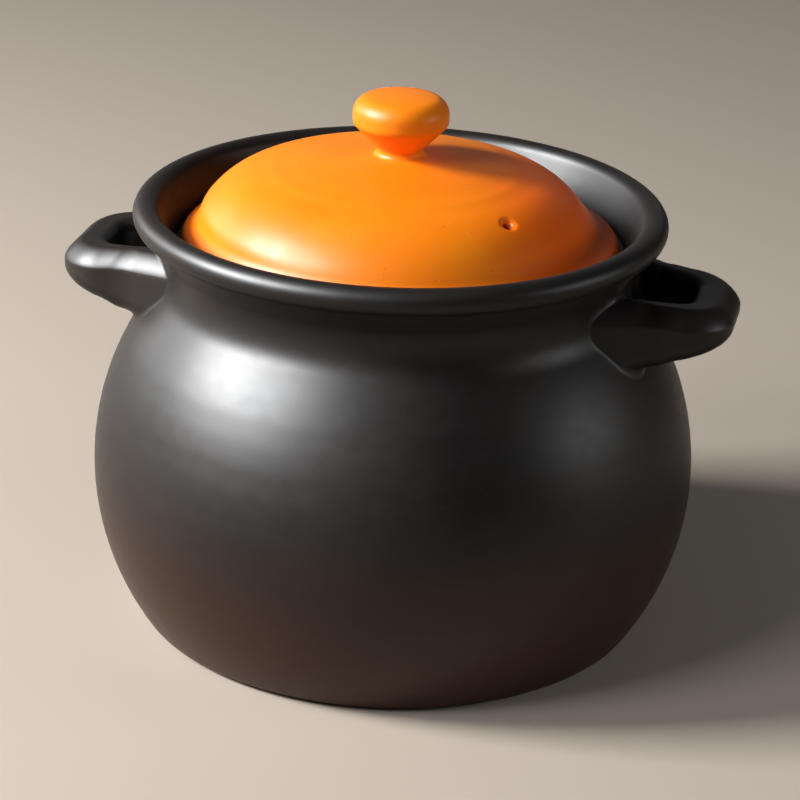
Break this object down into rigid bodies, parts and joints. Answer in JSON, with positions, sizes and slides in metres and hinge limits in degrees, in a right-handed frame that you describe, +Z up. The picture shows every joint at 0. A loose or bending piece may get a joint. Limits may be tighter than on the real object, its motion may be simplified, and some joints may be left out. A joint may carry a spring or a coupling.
{
  "type": "chinese sand pot",
  "caption": "Round-bellied clay stew pot with a flared collar, loop ears and a domed lid that rests inside the collar and lifts off by its knob.",
  "frame": {"origin": "centre of the foot ring's underside, on the pot's axis, on the surface it stands on", "axes": "+Z up along the pot's axis, +X through the right ear and -X through the left ear, -Y towards the viewer"},
  "size_m": [0.269, 0.241, 0.2158],
  "materials": {
    "pot_glaze": "satin black glaze",
    "lid_glaze": "glossy orange glaze"
  },
  "bodies": {
    "pot": {"pot_body": "pot_glaze", "handle_left": "pot_glaze", "handle_right": "pot_glaze"},
    "lid": {"lid_dome": "lid_glaze", "lid_knob": "lid_glaze"}
  },
  "joints": [
    {"name": "lid_lift", "type": "slide", "parent": "pot", "child": "lid", "axis": [0, 0, 1], "range_m": [0, 0.15]}
  ]
}
